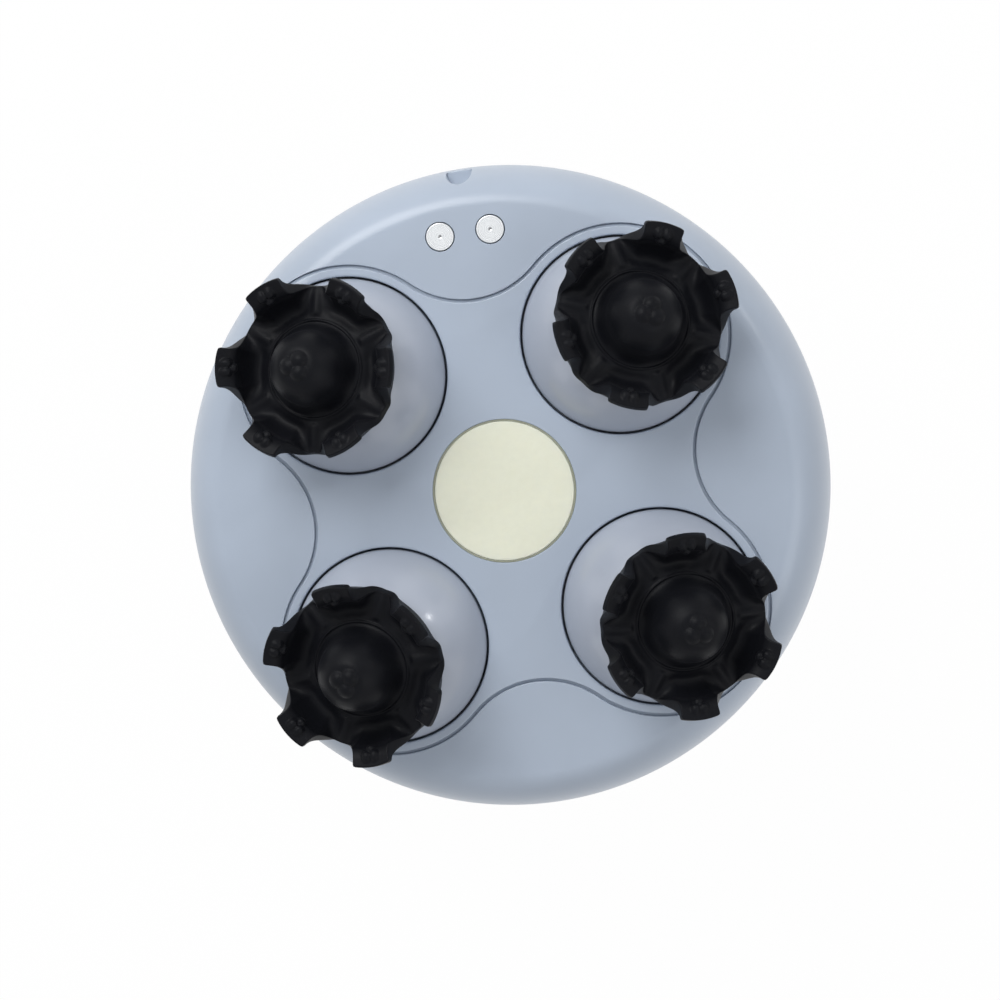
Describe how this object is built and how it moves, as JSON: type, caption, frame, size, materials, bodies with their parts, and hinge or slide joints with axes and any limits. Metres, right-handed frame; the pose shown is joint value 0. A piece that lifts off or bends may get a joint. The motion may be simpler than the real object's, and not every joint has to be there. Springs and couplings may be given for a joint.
{
  "type": "electric scalp massager",
  "caption": "Round palm-held scalp massager with turning tilted silicone claws on domed turrets, a clover panel and a light window",
  "frame": {"origin": "middle of the flat rest face on the back of the grip", "axes": "+Z out of the working face, along the head shafts; +Y towards the charging contacts and the locating notch; +X to the right seen onto the working face"},
  "size_m": [0.105, 0.105, 0.0889],
  "materials": {
    "rear_grey": "satin moulded plastic",
    "front_grey": "satin moulded plastic",
    "panel_grey": "satin moulded plastic",
    "turret_grey": "semi-gloss moulded plastic",
    "claw_silicone": "matte silicone",
    "core_dark": "matte",
    "seal_rubber": "matte",
    "plug_rubber": "matte",
    "screw_steel": "plated",
    "light_lens": "translucent, satin",
    "ring_lens": "translucent, satin",
    "board_green": "solder mask",
    "contact_metal": "spun",
    "lead_red": "gloss",
    "switch_black": "matte",
    "cell_blue": "foil",
    "tray_dark": "matte",
    "button_grey": "satin",
    "can_steel": "plated",
    "pin_steel": "ground",
    "pinion_brass": "cut",
    "bush_bronze": "sintered bronze",
    "gearbox_white": "matte",
    "gear_white": "matte",
    "clip_steel": "spring steel"
  },
  "bodies": {
    "housing": {"rear_shell": "rear_grey", "front_shell": "front_grey", "clover_panel": "panel_grey", "shell_seal": "seal_rubber", "housing_screws": "screw_steel", "screw_plugs": "plug_rubber", "light_window": "light_lens", "window_seal": "seal_rubber", "led_board": "board_green", "charge_contacts": "contact_metal", "internal_leads": "lead_red", "main_board": "board_green", "board_screws": "screw_steel", "tact_switch": "switch_black", "battery": "cell_blue", "battery_tray": "tray_dark", "light_ring": "ring_lens", "motor_can": "can_steel", "motor_screws": "screw_steel", "gearbox_base": "gearbox_white", "gearbox_cover": "gearbox_white", "gearbox_screws": "screw_steel", "head_bushes": "bush_bronze", "centre_pin": "pin_steel", "lay_pin": "pin_steel", "idler_pins": "pin_steel"},
    "button": {"button_cap": "button_grey", "switch_plunger": "switch_black"},
    "motor_rotor": {"motor_shaft": "pin_steel", "motor_pinion": "pinion_brass"},
    "lay_1": {"lay_gear_1": "gear_white"},
    "centre": {"centre_gear": "gear_white"},
    "lay_2": {"lay_gear_2": "gear_white"},
    "sun": {"sun_gear": "gear_white"},
    "idler_1": {"idler_gear_1": "gear_white"},
    "idler_3": {"idler_gear_3": "gear_white"},
    "head_1": {"turret_1": "turret_grey", "claw_core_1": "core_dark", "claw_1": "claw_silicone", "head_shaft_1": "pin_steel", "head_gear_1": "gear_white", "shaft_clip_1": "clip_steel"},
    "head_2": {"turret_2": "turret_grey", "claw_core_2": "core_dark", "claw_2": "claw_silicone", "head_shaft_2": "pin_steel", "head_gear_2": "gear_white", "shaft_clip_2": "clip_steel"},
    "head_3": {"turret_3": "turret_grey", "claw_core_3": "core_dark", "claw_3": "claw_silicone", "head_shaft_3": "pin_steel", "head_gear_3": "gear_white", "shaft_clip_3": "clip_steel"},
    "head_4": {"turret_4": "turret_grey", "claw_core_4": "core_dark", "claw_4": "claw_silicone", "head_shaft_4": "pin_steel", "head_gear_4": "gear_white", "shaft_clip_4": "clip_steel"}
  },
  "joints": [
    {"name": "head_2_spin", "type": "hinge", "parent": "housing", "child": "head_2", "pos_m": [-0.02192, 0.02192, 0.068], "axis": [0, 0, 1], "continuous": true},
    {"name": "head_1_spin", "type": "hinge", "parent": "housing", "child": "head_1", "pos_m": [0.02192, 0.02192, 0.068], "axis": [0, 0, 1], "continuous": true},
    {"name": "head_3_spin", "type": "hinge", "parent": "housing", "child": "head_3", "pos_m": [-0.02192, -0.02192, 0.068], "axis": [0, 0, 1], "continuous": true},
    {"name": "head_4_spin", "type": "hinge", "parent": "housing", "child": "head_4", "pos_m": [0.02192, -0.02192, 0.068], "axis": [0, 0, 1], "continuous": true},
    {"name": "sun_spin", "type": "hinge", "parent": "housing", "child": "sun", "pos_m": [0, 0, 0.054], "axis": [0, 0, 1], "continuous": true},
    {"name": "idler_1_spin", "type": "hinge", "parent": "housing", "child": "idler_1", "pos_m": [0.02249, 0.00398, 0.056], "axis": [0, 0, 1], "continuous": true},
    {"name": "idler_3_spin", "type": "hinge", "parent": "housing", "child": "idler_3", "pos_m": [-0.02249, -0.00398, 0.056], "axis": [0, 0, 1], "continuous": true},
    {"name": "lay_2_spin", "type": "hinge", "parent": "housing", "child": "lay_2", "pos_m": [0, 0.012, 0.05], "axis": [0, 0, 1], "continuous": true},
    {"name": "centre_spin", "type": "hinge", "parent": "housing", "child": "centre", "pos_m": [0, 0, 0.048], "axis": [0, 0, 1], "continuous": true},
    {"name": "lay_1_spin", "type": "hinge", "parent": "housing", "child": "lay_1", "pos_m": [0, 0.012, 0.0455], "axis": [0, 0, 1], "continuous": true},
    {"name": "motor_spin", "type": "hinge", "parent": "housing", "child": "motor_rotor", "pos_m": [0, 0, 0.04], "axis": [0, 0, 1], "continuous": true},
    {"name": "button_press", "type": "slide", "parent": "housing", "child": "button", "axis": [0, 0, 1], "range_m": [0, 0.0006], "stiffness_N_per_m": 400, "springref_m": -0.002}
  ],
  "couplings": [
    {"joint": "head_4_spin", "follows": "head_2_spin", "ratio": 1},
    {"joint": "head_1_spin", "follows": "head_2_spin", "ratio": -1},
    {"joint": "head_3_spin", "follows": "head_2_spin", "ratio": -1},
    {"joint": "sun_spin", "follows": "head_2_spin", "ratio": -0.72727},
    {"joint": "idler_1_spin", "follows": "head_2_spin", "ratio": 2.6667},
    {"joint": "idler_3_spin", "follows": "head_2_spin", "ratio": 2.6667},
    {"joint": "lay_2_spin", "follows": "head_2_spin", "ratio": 2.1818},
    {"joint": "centre_spin", "follows": "head_2_spin", "ratio": -6.5455},
    {"joint": "lay_1_spin", "follows": "head_2_spin", "ratio": 19.636},
    {"joint": "motor_spin", "follows": "head_2_spin", "ratio": -58.909}
  ]
}
